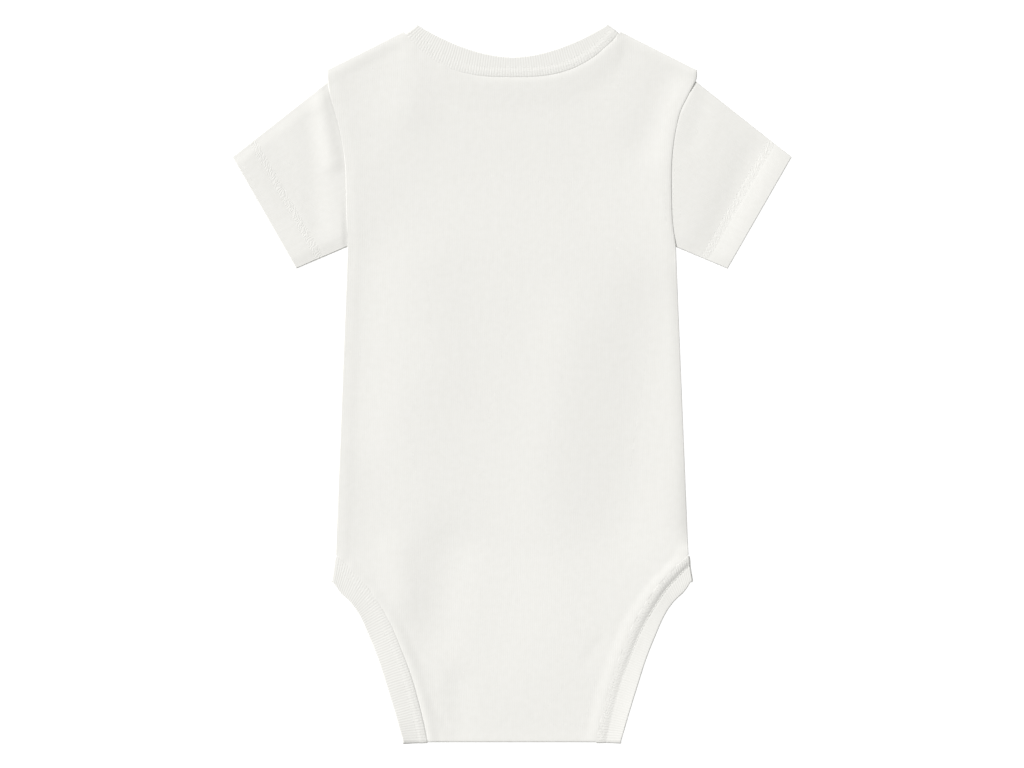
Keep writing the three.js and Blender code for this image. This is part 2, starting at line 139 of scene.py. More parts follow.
# How the leg bindings lie on the back: the groove at their inner needle row, how deep the seam sinks, and
# how far the free edge curls up
LEG_LIE = table(
    "y right_groove left_groove right_sink left_sink right_curl left_curl",
    (-206, 0.30, 0.0, 0.1, 1.5, 0.60, 1.20),
    (-195, 0.30, 0.0, 0.1, 1.5, 0.70, 0.80),
    (-183, 0.30, 0.0, 0.1, 1.5, 0.75, 0.15),
    (-165, 0.32, 0.0, 0.1, 1.2, 0.35, -0.15),
    (-143, 0.36, 0.0, 0.1, 0.8, -0.10, -0.35),
    (-115, 0.50, 0.0, 0.1, 0.3, -0.70, 0.50),
    (-100, 0.50, 0.0, 0.1, 0.0, -0.50, 0.70),
)
HIP_FOLD = np.array([0.988, 0.152, 0])
CROTCH_FOLD = np.array([0.0, -1, 0])
CROTCH_Y = BACK_LEG["seam_y"][-1]
TAIL_END = dict(seam_x=46.0, edge_x=60.2, y=-172)

# Sleeve: the fold along its top and the seam along its underside, from armhole to hem
SLEEVE_TOP = dict(start_y=177.1, hem_x=162.1, hem_y=131.6)
SLEEVE_UNDERSIDE = dict(start_y=80.5, hem_x=124.9, hem_y=66.8)
SLEEVE_SLIT = dict(right=0.85, left=0.8, hem=0.5)
# How much of its height a sleeve keeps at its underarm seam
SLEEVE_PRESS = dict(right=0.7, left=0.84)
HEM_WALL = 1.35
HEM_DEPTH = 17.5

# Machine stitching: two needle rows, this far from the seam or from the hem fold
STITCH_PITCH = 2.3
THREAD_RADIUS = 0.13
BINDING_ROWS = (1.7, 5.9)
HEM_ROWS = (12.6, 17.1)

SNAP = dict(radius=4.6, height=0.5, spacing=23, y=-193.5, rim=1.3, ring=0.5, pressed=0.15, rounding=0.16)

# Soft ridges (positive) and troughs (negative) along straight runs, the large ones first
BACK_FOLDS = table(
    "x1 y1 x2 y2 height width",
    (-38, 120, 36, 118, -0.35, 30),
    (-88, 72, -90, -24, -0.5, 17),
    (-50, 66, -46, 12, 0.4, 22),
    (-62, -20, -54, -62, 0.3, 20),
    (34, 30, 14, -78, 0.38, 19),
    (82, 44, 64, -80, -0.75, 22),
    (-55, 186, -60, 160, 0.45, 14),
    (-95, 160, -88, 144, -0.2, 13),
    (91, 174, 78, 140, -0.5, 11),
    (-104, -40, -102, -84, 0.45, 12),
    (109, -58, 106, -82, -0.7, 9),
    (-36, -98, -43, -140, -0.75, 16),
    (-66, -98, -62, -122, 0.35, 10),
    (-4, -96, -14, -150, -0.5, 24),
    (-31, -174, -32, -206, -0.25, 8),
    (-38, -208, 44, -208, 0.15, 5),
    (-54, -157, -45, -170, -0.15, 3.5),
    (-46, -185, -39, -196, -0.15, 3),
    (52, -148, 43, -160, -0.12, 4),
)
FRONT_FOLDS = table(
    "x1 y1 x2 y2 height width",
    (-20, 118, -31, 40, 0.45, 14),
    (26, -8, 18, -112, 0.5, 16),
    (58, 148, 44, 92, 0.35, 10),
    (-58, -30, -64, -84, 0.35, 9),
)
SLEEVE_FOLDS = {
    "right": table(
        "x1 y1 x2 y2 height width",
        (138, 132, 119, 82, -0.4, 10),
        (112, 166, 104, 140, -0.2, 6),
        (147, 138, 110, 74, -0.3, 8),
    ),
    "left": table(
        "x1 y1 x2 y2 height width",
        (-112, 172, -104, 128, 0.55, 5),
        (-118, 152, -112, 92, -0.3, 7),
        (-130, 74, -100, 84, 0.4, 20),
    ),
}


def smoothstep(x, low, high):
    t = np.clip((np.asarray(x, float) - low) / (high - low), 0, 1)
    return t * t * (3 - 2 * t)


def lerp(a, b, t):
    return a + (b - a) * t


def smooth_column(rows, by, key, at):
    """Values of a table's column at places in another column, smooth through the rows."""
    x, y = rows[by], rows[key]
    if x[0] > x[-1]:
        x, y = x[::-1], y[::-1]
    slope = np.empty_like(y)
    slope[1:-1] = (y[2:] - y[:-2]) / (x[2:] - x[:-2])
    slope[0] = (y[1] - y[0]) / (x[1] - x[0])
    slope[-1] = (y[-1] - y[-2]) / (x[-1] - x[-2])
    i = np.clip(np.searchsorted(x, at, side="right") - 1, 0, len(x) - 2)
    span = x[i + 1] - x[i]
    t = np.clip((at - x[i]) / span, 0, 1)
    start = t * (1 - t) ** 2 * span * slope[i]
    end = t**2 * (t - 1) * span * slope[i + 1]
    return lerp(y[i], y[i + 1], t * t * (3 - 2 * t)) + start + end


def table_curve(rows, x, y, share):
    """Points of a smooth curve through a pair of columns, at shares of the way along it."""
    points = np.column_stack([rows[x], rows[y]])
    knots = np.vstack([2 * points[0] - points[1], points, 2 * points[-1] - points[-2]])
    place = np.asarray(share, float) * (len(points) - 1)
    i = np.minimum(place.astype(int), len(points) - 2)
    w = (place - i)[:, None]
    p0, p1, p2, p3 = (knots[i + k] for k in range(4))
    d0, d1, d2 = (
        np.sqrt(np.linalg.norm(b - a, axis=1))[:, None] for a, b in ((p0, p1), (p1, p2), (p2, p3))
    )
    start = ((p1 - p0) / d0 - (p2 - p0) / (d0 + d1) + (p2 - p1) / d1) * d1
    end = ((p2 - p1) / d1 - (p3 - p1) / (d1 + d2) + (p3 - p2) / d2) * d1
    square = -3 * p1 + 3 * p2 - 2 * start - end
    cube = 2 * p1 - 2 * p2 + start + end
    return p1 + start * w + square * w**2 + cube * w**3


def neck_points(curve, t):
    """Points of a neck curve, at shares t from -1 to 1 of its half width."""
    y = curve["low"] + (curve["top"] - curve["low"]) * np.abs(t) ** curve["power"]
    return np.column_stack([curve["half"] * t, y])


def creases(rows, x, y):
    """Height of the soft ridges and troughs at each point."""
    total = np.zeros(np.broadcast(x, y).shape)
    for x1, y1, x2, y2, height, width in zip(*rows.values()):
        dx, dy = x2 - x1, y2 - y1
        along = np.clip(((x - x1) * dx + (y - y1) * dy) / (dx * dx + dy * dy), 0, 1)
        off = np.hypot(x - x1 - along * dx, y - y1 - along * dy)
        total += height * np.exp(-((off / width) ** 2))
    return total


def side_x(side, y):
    """Half width of the body at height y, down to the start of the leg opening."""
    y = np.asarray(y, float)
    underarm = ARMHOLE[side][-1]
    straight = lerp(underarm, HIP["x"], (UNDERARM_Y - y) / (UNDERARM_Y - HIP["y"]))
    return np.where(y > UNDERARM_Y, smooth_column(ARMHOLE, "y", side, y), straight)


def shoulder_y(x):
    t = (np.abs(x) - SHOULDER["neck_x"]) / (SHOULDER["tip_x"] - SHOULDER["neck_x"])
    return lerp(SHOULDER["neck_y"], SHOULDER["tip_y"], t)


def seam_sink(x, y):
    """How deep a binding's seam sinks, from 0 to 1. On the left of the neck it hardly shows."""
    neck = smoothstep(x, -46, -14) * (1 - 0.25 * smoothstep(x, 20, 50))
    right, left = (np.interp(y, LEG_LIE["y"], LEG_LIE[f"{side}_sink"]) for side in ("right", "left"))
    return np.where(y > HIP["y"], neck, np.where(x > 0, right, left))


def crotch_rise(y):
    return smoothstep(-y, 50, 172)


def back_underside(x, y):
    """Height of the back panel's underside."""
    upper = np.where(x > 0, side_x("right", y), side_x("left", y))
    half = np.where(y > HIP["y"], upper, smooth_column(BACK_LEG, "seam_y", "seam_x", y))
    inside = half - np.abs(x)
    share = np.minimum(np.abs(x) / BACK_NECK_SEAM["half"], 1)
    neck_y = neck_points(BACK_NECK_SEAM, share.ravel())[:, 1].reshape(x.shape)
    off_neck = smoothstep(np.abs(x), BACK_NECK_SEAM["half"] - 1, BACK_NECK_SEAM["half"] + 7)
    below_shoulder = shoulder_y(x) - y
    below_top = lerp(neck_y - y, np.minimum(2.2 * below_shoulder, neck_y - y + 12), off_neck)
    from_hip = np.hypot(HIP["x"] - np.abs(x), y - HIP["y"])
    from_leg = np.where(y > HIP["y"], from_hip, inside)
    by_binding = smoothstep(below_top, 0, NECK_FADE) * smoothstep(from_leg, 0, LEG_FADE)
    crotch = crotch_rise(y)
    flush = BINDING / 2 + BINDING_FACE - WALL
    at_seam = lerp(np.where(y > HIP["y"], NECK_LEVEL, BACK_LEVEL), CROTCH_LEVEL, crotch) + flush
    level = lerp(at_seam, lerp(BACK_REST, CROTCH_LEVEL, crotch) + creases(BACK_FOLDS, x, y), by_binding)
    from_seam = np.where(y > HIP["y"], neck_y - y + 99 * off_neck, inside)
    seam_roll = (1 - np.clip(from_seam / PANEL_ROLL, 0, 1)) ** 2
    level = level - PANEL_SINK * seam_sink(x, y) * seam_roll
    on_armhole = smoothstep(y, 30, 90) * smoothstep(below_shoulder, 0, 9)
    rise, roll = (np.where(x > 0, ends["right"], ends["left"]) for ends in (ARMHOLE_RISE, ARMHOLE_ROLL))
    level = level + rise * on_armhole * (1 - np.clip(inside / ARMHOLE_RISE_WIDTH, 0, 1)) ** 2
    by_sleeve = smoothstep(y, UNDERARM_Y - 4, UNDERARM_Y + 4)
    level = level - roll * by_sleeve * (1 - np.clip(inside / ARMHOLE_ROLL_WIDTH, 0, 1)) ** 2
    on_side = smoothstep(y, HIP["y"], HIP["y"] + 10) * (1 - smoothstep(y, 56, 74))
    rise, width = (np.where(x > 0, ends["right"], ends["left"]) for ends in (SIDE_RISE, SIDE_RISE_WIDTH))
    level = level + rise * on_side * (1 - smoothstep(inside, 0, width))
    at_shoulder = np.where(x > 0, SEAM_LEVEL, level - 0.15)
    return lerp(level, at_shoulder, off_neck * (1 - smoothstep(below_shoulder, 0, 3)))


def front_side_x(side, y):
    """Half width of the front panel, which keeps clear of the sleeve tucked under the back."""
    tucked = smoothstep(y, 76.5, 79.5) * (1 - smoothstep(y, 178, 181))
    return side_x(side, y) - (SLEEVE_TUCK + 2 * GAP) * tucked


# Meshes


def grid_faces(rows, columns, looped):
    """Quads that join rings of points; a looped set of rings closes on itself."""
    spans = rows if looped else rows - 1
    i, j = np.meshgrid(np.arange(spans), np.arange(columns), indexing="ij")
    here, following = i * columns, ((i + 1) % rows) * columns
    k = (j + 1) % columns
    return np.stack([here + j, here + k, following + k, following + j], -1).reshape(-1, 4)


def end_faces(start, columns, turned):
    """Quads that close an end ring, joining each point to its partner across the ring."""
    j = np.arange(columns // 2 - 1)
    quads = start + np.stack([j, columns - 1 - j, columns - 2 - j, j + 1], -1)
    return quads[:, ::-1] if turned else quads


def mesh_object(name, points, faces, uvs, material):
    """A smooth-shaded mesh from points in millimetres."""
    mesh = bpy.data.meshes.new(name)
    mesh.from_pydata((points * MM).tolist(), [], faces.tolist())
    loops = np.empty(len(mesh.loops), np.int64)
    mesh.loops.foreach_get("vertex_index", loops)
    layer = mesh.uv_layers.new(name="cloth")
    layer.data.foreach_set("uv", (uvs[loops] * MM).ravel())
    mesh.shade_smooth()
    mesh.materials.append(material)
    mesh.validate()
    piece = bpy.data.objects.new(name, mesh)
    bpy.context.collection.objects.link(piece)
    return piece


def facing_out(points, faces):
    """The faces of a closed mesh, turned round where they would look inwards."""
    a, b, c, d = (points[faces[:, k]] for k in range(4))
    volume = np.sum(a * (np.cross(b, c) + np.cross(c, d)))
    return faces if volume > 0 else faces[:, ::-1]


def skin(name, rings, uvs, looped, material):
    """A closed wall from rings of points."""
    rows, columns = rings.shape[:2]
    faces = grid_faces(rows, columns, looped)
    if not looped:
        ends = [end_faces(0, columns, False), end_faces((rows - 1) * columns, columns, True)]
        faces = np.vstack([faces, *ends])
    points = rings.reshape(-1, 3)
    return mesh_object(name, points, facing_out(points, faces), uvs.reshape(-1, 2), material)


def grid_normals(points):
    """Directions out of a grid of points, upwards where it lies flat with columns to the right."""
    down = np.gradient(points, axis=0)
    across = np.gradient(points, axis=1)
    normal = np.cross(down, across)
    return normal / np.linalg.norm(normal, axis=2, keepdims=True)


def edge_places(x, y, lines):
    """Each point's distance from the nearest of some edges, and how far along them that is."""
    dense, places = [], []
    for line in lines:
        steps = np.linalg.norm(np.diff(line, axis=0), axis=1)
        lengths = np.concatenate([[0], np.cumsum(steps)])
        along = np.arange(0, lengths[-1], 0.1)
        dense += [np.interp(along, lengths, line[:, k]) for k in (0, 1)]
        places.append(along)
    dense = np.column_stack([np.concatenate(dense[k::2]) for k in (0, 1)])
    places = np.concatenate(places)
    tree = kdtree.KDTree(len(dense))
    for i, (px, py) in enumerate(dense):
        tree.insert((px, py, 0), i)
    tree.balance()
    found = [tree.find((px, py, 0)) for px, py in zip(x.ravel(), y.ravel())]
    distance = np.array([f[2] for f in found]).reshape(x.shape)
    return distance, places[[f[1] for f in found]].reshape(x.shape)


def rounded(distance, radius, least=0.1):
    """Share of a wall's full thickness at a distance from its rounded edge."""
    t = 1 - np.clip(distance / radius, 0, 1)
    return lerp(least, 1, np.sqrt(1 - t * t))


def puckers(place, distance, depth, reach):
    """Slight uneven waves that a seam draws into the cloth beside it."""
    wave = np.sin(place / 1.45 + 1.3 * np.sin(place / 6.1)) + 0.8 * np.sin(place / 2.6 + 2)
    strength = 0.55 + 0.45 * np.sin(place / 23 + 1)
    return depth * wave * strength * np.exp(-distance / reach)


# Panels

SHOULDER_SHARE = 4 / 22
EDGE_STEPS = np.array([0, 0.15, 0.35, 0.6, 0.95, 1.5])


def panel_shares(width, count):
    """Shares across a panel, closer together beside its edges."""
    edge = EDGE_STEPS / width
    middle = np.linspace(edge[-1], 1 - edge[-1], count)[1:-1]
    return np.concatenate([edge, middle, 1 - edge[::-1]])


def top_edge(neck, shares):
    """The panel's top edge: shoulder seam, neck seam, shoulder seam."""
    t = np.sin(np.linspace(-1, 1, 161) * math.pi / 2)
    slope = (neck["top"] - neck["low"]) * neck["power"] * np.sign(t)
    slope = slope * np.abs(t) ** (neck["power"] - 1) / neck["half"]
    off = np.column_stack([slope, -np.ones_like(t)])
    off *= -SEAM_LAP / np.linalg.norm(off, axis=1, keepdims=True)
    curve = neck_points(neck, t) + off
    corner = (SHOULDER["neck_x"], SHOULDER["neck_y"])
    tip = (SHOULDER["tip_x"], SHOULDER["tip_y"])
    left = [(-tip[0], tip[1]), (-corner[0], corner[1])]
    line = np.vstack([left, curve, [corner, tip]])
    inner = np.linspace(SHOULDER_SHARE, 1 - SHOULDER_SHARE, len(t))
    near = 0.75 * SHOULDER_SHARE
    at = np.concatenate([[0, near], inner, [1 - near, 1]])
    return np.column_stack([np.interp(shares, at, line[:, k]) for k in (0, 1)])


def yoke(neck, yoke_y, edge_x, across, shares):
    """Plan of a panel from its shoulders down to a straight row across it."""
    top = top_edge(neck, across)[None]
    share = shares[:, None]
    bottom_x = lerp(-edge_x("left", yoke_y), edge_x("right", yoke_y), across)[None]
    x = lerp(top[..., 0], bottom_x, share)
    y = lerp(top[..., 1], yoke_y, share)
    side_y = lerp(SHOULDER["tip_y"], yoke_y, share)
    bulge = {
        side: edge_x(side, side_y) - lerp(SHOULDER["tip_x"], edge_x(side, yoke_y), share)
        for side in ("left", "right")
    }
    return x + bulge["right"] * across - bulge["left"] * (1 - across), y


def straight_rows(left_x, right_x, y, across):
    """Plan of straight rows across a panel."""
    x = lerp(-np.asarray(left_x)[:, None], np.asarray(right_x)[:, None], across)
    return x, np.broadcast_to(np.asarray(y)[:, None], x.shape)


def leg_panel_points(leg, count):
    """The panel's edge along a leg opening, a little under the binding."""
    share = np.linspace(0, 1, count)
    seam = table_curve(leg, "seam_x", "seam_y", share)
    edge = table_curve(leg, "edge_x", "edge_y", share)
    off = seam - edge
    return seam - off * SEAM_LAP / np.linalg.norm(off, axis=1, keepdims=True)


def panel_edges(x, y):
    """A panel's edges: those sewn to a binding, and then the others, free or folded."""
    plan = np.stack([x, y], -1)
    by_neck = np.abs(x[0]) < SHOULDER["neck_x"]
    on_leg = y[:, 0] < HIP["y"] - 1
    sewn = [plan[0, by_neck], plan[on_leg, 0], plan[on_leg, -1]]
    corners = np.flatnonzero(by_neck)[[0, -1]]
    shoulders = [plan[0, : corners[0]], plan[0, corners[1] + 1 :]]
    return sewn, [plan[~on_leg, 0], plan[~on_leg, -1], *shoulders]


def panel_wall(x, y, middle, loose_end, pinch=1.0):
    """Rings round a panel's wall. It is thin at its free edges and where it is pinched, and nearly full
    where it is sewn."""
    sewn, free = panel_edges(x, y)
    if loose_end:
        free.append(np.column_stack([x[-1], y[-1]]))
    by_seam, _ = edge_places(x, y, sewn)
    by_edge, _ = edge_places(x, y, free)
    pressed = lerp(0.62, 1, smoothstep(by_edge, 0, 6)) * pinch
    radius = np.where(y > UNDERARM_Y, 0.35, 0.6)
    thin = np.minimum(rounded(by_seam, 0.45, 1 - 0.12 * seam_sink(x, y)), rounded(by_edge, radius))
    half = WALL / 2 * pressed * thin
    offset = grid_normals(middle) * half[..., None]
    return np.concatenate([middle + offset, (middle - offset)[:, ::-1]], axis=1)


def plan_area(x, y):
    """Area of a panel's plan in square metres."""
    dx, dy = x[1:, 1:] - x[:-1, :-1], y[1:, 1:] - y[:-1, :-1]
    ex, ey = x[1:, :-1] - x[:-1, 1:], y[1:, :-1] - y[:-1, 1:]
    return float(np.abs(dx * ey - dy * ex).sum() / 2) * MM**2


def back_panel(material):
    across = panel_shares(190, 128)
    yoke_y = 150
    shares = np.concatenate([[0, 0.004, 0.01, 0.02, 0.034], np.linspace(0.055, 1, 26)])
    parts = [yoke(BACK_NECK_SEAM, yoke_y, side_x, across, shares)]
    y = np.linspace(yoke_y, HIP["y"], 140)[1:]
    parts.append(straight_rows(side_x("left", y), side_x("right", y), y, across))
    leg = leg_panel_points(BACK_LEG, 64)
    parts.append(straight_rows(leg[:, 0], leg[:, 0], leg[:, 1], across))
    upper = CROTCH_LEVEL + WALL / 2
    under = TAIL_LEVEL + WALL / 2
    radius = (upper - under) / 2
    tail_length = math.pi * radius + TAIL_END["y"] - CROTCH_Y
    round_fold = np.linspace(0, math.pi * radius, 12)[1:] / tail_length
    share = np.concatenate([round_fold, np.linspace(0.1, 1, 18)])
    tail_x = lerp(leg[-1, 0], TAIL_END["seam_x"] + SEAM_LAP, share)
    parts.append(straight_rows(tail_x, tail_x, CROTCH_Y - share * tail_length, across))
    x, flat_y = (np.vstack([part[k] for part in parts]) for k in (0, 1))

    past = np.maximum(CROTCH_Y - flat_y, 0)
    angle = np.minimum(past / radius, math.pi)
    fold = radius * np.sqrt(np.sin(angle).clip(0))
    y = np.maximum(flat_y, CROTCH_Y) - fold + np.maximum(past - math.pi * radius, 0)
    sewn, _ = panel_edges(x, flat_y)
    by_seam, place = edge_places(x, flat_y, sewn)
    pinch = lerp(0.6, 1, smoothstep(np.abs(CROTCH_Y - flat_y - math.pi * radius / 2), 1, 6))
    level = back_underside(x, np.maximum(flat_y, CROTCH_Y)) + WALL * (1 - pinch / 2)
    level = level + puckers(place, by_seam, 0.04, 5) * (past == 0)
    z = np.where(past > 0, under + (level - under) * (1 + np.cos(angle)) / 2, level)
    middle = np.stack([x, y, z], -1)
    rings = panel_wall(x, flat_y, middle, True, pinch)
    flat = np.stack([x, flat_y], -1)
    uvs = np.concatenate([flat, flat[:, ::-1]], axis=1)
    piece = skin("back_panel_cloth", rings, uvs, False, material)
    return piece


def front_panel(material):
    across = panel_shares(190, 84)
    yoke_y = 118
    shares = np.concatenate([[0, 0.004, 0.01, 0.02, 0.034], np.linspace(0.055, 1, 26)])
    parts = [yoke(FRONT_NECK_SEAM, yoke_y, front_side_x, across, shares)]
    at_underarm = np.linspace(80, 76, 9)
    y = np.concatenate([np.linspace(yoke_y, 81, 16)[1:], at_underarm, np.linspace(74, HIP["y"], 70)])
    parts.append(straight_rows(front_side_x("left", y), front_side_x("right", y), y, across))
    leg = leg_panel_points(FRONT_LEG, 50)
    parts.append(straight_rows(leg[:, 0], leg[:, 0], leg[:, 1], across))
    x, y = (np.vstack([part[k] for part in parts]) for k in (0, 1))
    _, free = panel_edges(x, y)
    by_edge, _ = edge_places(x, y, free)
    on_sleeve = smoothstep(y, 72, 78) * (1 - smoothstep(y, 178, 181))
    to_back = back_underside(x, y) - WALL - SIDE_GAP
    lift = to_back * (1 - smoothstep(by_edge, 0, 5)) * (1 - on_sleeve)
    lift = lift + creases(FRONT_FOLDS, x, y)
    lift = lift + SNAP_LIFT * smoothstep(-y, 165, 182) * (1 - smoothstep(np.abs(x), 31, 40))
    middle = np.stack([x, y, WALL / 2 + lift], -1)
    rings = panel_wall(x, y, middle, False)
    flat = np.stack([x, y], -1)
    uvs = np.concatenate([flat, flat[:, ::-1]], axis=1)
    piece = skin("front_panel_cloth", rings, uvs, False, material)
    return piece


# Bindings

BINDING_SHARES = np.concatenate(
    [[0, 0.012, 0.03, 0.055, 0.085], np.linspace(0.12, 0.9, 18), [0.93, 0.955, 0.975, 0.99, 1]]
)


def binding_height(across, width, groove, sink):
    """Height of a binding's outer face above its middle, from its seam to its free edge. Where it
    sinks at the seam, the seam allowances inside show as a ridge, and elsewhere its inner needle row
    pulls it down in a wide groove."""
    first, second = (across - row for row in BINDING_ROWS)
    pulled = groove * np.exp(-((second / np.where(second < 0, 2.1, 7.0)) ** 2))
    pulled = pulled + 0.2 * groove * np.exp(-((second / 0.6) ** 2)) + 0.015 * np.exp(-((first / 0.6) ** 2))
    at_seam = SEAM_SINK * sink * (1 - np.clip(across / SEAM_ROLL, 0, 1)) ** 2
    ridge = 0.08 * sink * np.exp(-(((across - 3.4) / 1.4) ** 2))
    return (BINDING_FACE - pulled - at_seam + ridge) * rounded(width - across, 0.7)


def layer_stations(seam, edge, z, out, groove=0.05, sink=0.5, curl=0.0):
    """Stations of a binding that lies in one layer."""
    count = len(seam)
    height = np.broadcast_to(z, count)[:, None]
    return dict(
        seam=np.hstack([seam, height]),
        edge=np.hstack([edge, height]),
        out=np.tile(np.array([0, 0, out], float), (count, 1)),
        groove=np.broadcast_to(groove, count),
        sink=np.broadcast_to(sink, count),
        curl=np.broadcast_to(curl, count),
    )


def turn_over(seam, edge, towards, from_z, to_z, start, end):
    """Stations that carry a binding over a fold, from one layer to another. start and end are the
    stations beside them, and how they lie changes evenly from one to the other."""
    angle = np.linspace(0, math.pi, 14)[1:-1, None]
    radius = abs(from_z - to_z) / 2
    rise = math.copysign(1, from_z - to_z) * np.cos(angle)
    up = np.array([[0, 0, 1.0]])
    out = up * rise + towards * np.sin(angle)
    shift = radius * towards * np.sqrt(np.sin(angle)) + up * ((from_z + to_z) / 2 + radius * rise)
    return dict(
        seam=np.append(seam, 0) + shift,
        edge=np.append(edge, 0) + shift,
        out=out,
        **{key: lerp(start[key], end[key], angle[:, 0] / math.pi) for key in ("groove", "sink", "curl")},
    )


def joined(parts):
    return {key: np.concatenate([part[key] for part in parts]) for key in parts[0]}


def binding_lengths(stations):
    """How far each station lies along the binding's middle."""
    middle = (stations["seam"] + stations["edge"]) / 2
    steps = np.linalg.norm(np.diff(middle, axis=0), axis=1)
    return np.concatenate([[0], np.cumsum(steps)])


def binding(name, stations, looped, material):
    seam, edge = stations["seam"][:, None], stations["edge"][:, None]
    out = stations["out"][:, None]
    width = np.linalg.norm(edge - seam, axis=2)
    share = BINDING_SHARES[None]
    across = share * width
    lengths = binding_lengths(stations)
    uneven = 1 + 0.25 * np.sin(lengths / 17 + 1.5 * np.sin(lengths / 41))[:, None]
    groove, sink, curl = (stations[key][:, None] for key in ("groove", "sink", "curl"))
    outer = binding_height(across, width, groove * uneven, sink)
    inner = BINDING / 2 * rounded(across, 0.8, 0.6) * rounded(width - across, 0.7)
    base = lerp(seam, edge, share[..., None]) + out * (curl * share**2)[..., None]
    rings = np.concatenate(
        [base + out * outer[..., None], (base - out * inner[..., None])[:, ::-1]], axis=1
    )
    flat = np.stack([np.broadcast_to(lengths[:, None], across.shape), across], -1)
    uvs = np.concatenate([flat, flat[:, ::-1]], axis=1)
    piece = skin(name, rings, uvs, looped, material)
    return piece


def binding_row(stations, row):
    """Points and outward directions of a needle row on a binding."""
    seam, edge, out = stations["seam"], stations["edge"], stations["out"]
    width = np.linalg.norm(edge - seam, axis=1)
    share = row / width
    height = binding_height(row, width, stations["groove"], stations["sink"]) + stations["curl"] * share**2
    return seam + (edge - seam) * share[:, None] + out * height[:, None], out


def neck_stations():
    upper = NECK_LEVEL + BINDING / 2
    lowest = BINDING / 2
    t = np.sin(np.linspace(-1, 1, 170) * math.pi / 2)
    back_seam = neck_points(BACK_NECK_SEAM, t)
    sink = seam_sink(*back_seam.T)
    back = layer_stations(back_seam, neck_points(BACK_NECK_EDGE, t), upper, 1, sink=sink)
    front_seam = neck_points(FRONT_NECK_SEAM, t[::-1])
    front = layer_stations(front_seam, neck_points(FRONT_NECK_EDGE, t[::-1]), lowest, -1)
    mirror = np.array([-1, 1, 1])
    seam, edge = (neck_points(curve, np.array([1.0]))[0] for curve in (BACK_NECK_SEAM, BACK_NECK_EDGE))
    back_ends = [{key: values[k] for key, values in back.items()} for k in (0, -1)]
    front_ends = [{key: values[k] for key, values in front.items()} for k in (0, -1)]
    right = turn_over(seam, edge, NECK_FOLD, upper, lowest, back_ends[1], front_ends[0])
    seam, edge = seam * mirror[:2], edge * mirror[:2]
    left = turn_over(seam, edge, NECK_FOLD * mirror, lowest, upper, front_ends[1], back_ends[0])
    half = len(t) // 2
    rest = {key: values[half:] for key, values in front.items()}
    start = {key: values[:half] for key, values in front.items()}
    return joined([rest, left, back, right, start])


def leg_stations(side):
    lowest = BINDING / 2
    tail_z = BACK_LEVEL + BINDING / 2
    share = np.linspace(0, 1, 150)
    front_seam, front_edge, back_seam, back_edge = (
        table_curve(leg, f"{line}_x", f"{line}_y", share)
        for leg in (FRONT_LEG, BACK_LEG)
        for line in ("seam", "edge")
    )
    front = layer_stations(front_seam[::-1], front_edge[::-1], lowest, -1)
    y = back_seam[:, 1]
    height = lerp(BACK_LEVEL, CROTCH_LEVEL, crotch_rise(y)) + BINDING / 2
    lie = (np.interp(y, LEG_LIE["y"], LEG_LIE[f"{side}_{kind}"]) for kind in ("groove", "sink", "curl"))
    back = layer_stations(back_seam, back_edge, height, 1, *lie)
    t = np.linspace(0, 1, 40)[:, None]
    tail_end = [np.array([TAIL_END[line], TAIL_END["y"]]) for line in ("seam_x", "edge_x")]
    tail = layer_stations(
        lerp(back_seam[-1], tail_end[0], t), lerp(back_edge[-1], tail_end[1], t), tail_z, -1
    )
    front_end, hip, crotch, tail_start = (
        {key: values[k] for key, values in part.items()}
        for part, k in ((front, -1), (back, 0), (back, -1), (tail, 0))
    )
    over_hip = turn_over(back_seam[0], back_edge[0], HIP_FOLD, lowest, height[0], front_end, hip)
    over_crotch = turn_over(
        back_seam[-1], back_edge[-1], CROTCH_FOLD, height[-1], tail_z, crotch, tail_start
    )
    stations = joined([front, over_hip, back, over_crotch, tail])
    if side == "left":
        for key in ("seam", "edge", "out"):
            stations[key] = stations[key] * [-1, 1, 1]
    return stations


# Sleeves

SLEEVE_WIDTH = 100
SLEEVE_EDGE = 1.2 * (1 - np.cos(np.linspace(0, math.pi / 2, 6)))


def sleeve_plan(side, across, place):
    """Plan of a sleeve: across runs from its top fold to its underarm seam, and place from 0 at the
    armhole through 1 at the hem's stitching to 2 at the hem fold. Also the distance from each end."""
    start_y = lerp(SLEEVE_TOP["start_y"], SLEEVE_UNDERSIDE["start_y"], across)
    start_x = smooth_column(ARMHOLE, "y", side, start_y) - SLEEVE_TUCK
    hem_x = lerp(SLEEVE_TOP["hem_x"], SLEEVE_UNDERSIDE["hem_x"], across)
    hem_y = lerp(SLEEVE_TOP["hem_y"], SLEEVE_UNDERSIDE["hem_y"], across)
    length = np.hypot(hem_x - start_x, hem_y - start_y)
    stitching = 1 - HEM_DEPTH / length
    along = np.where(place < 1, place * stitching, lerp(stitching, 1, place - 1))
    sign = 1 if side == "right" else -1
    x = sign * lerp(start_x, hem_x, along)
    return x, lerp(start_y, hem_y, along), along * length, (1 - along) * length


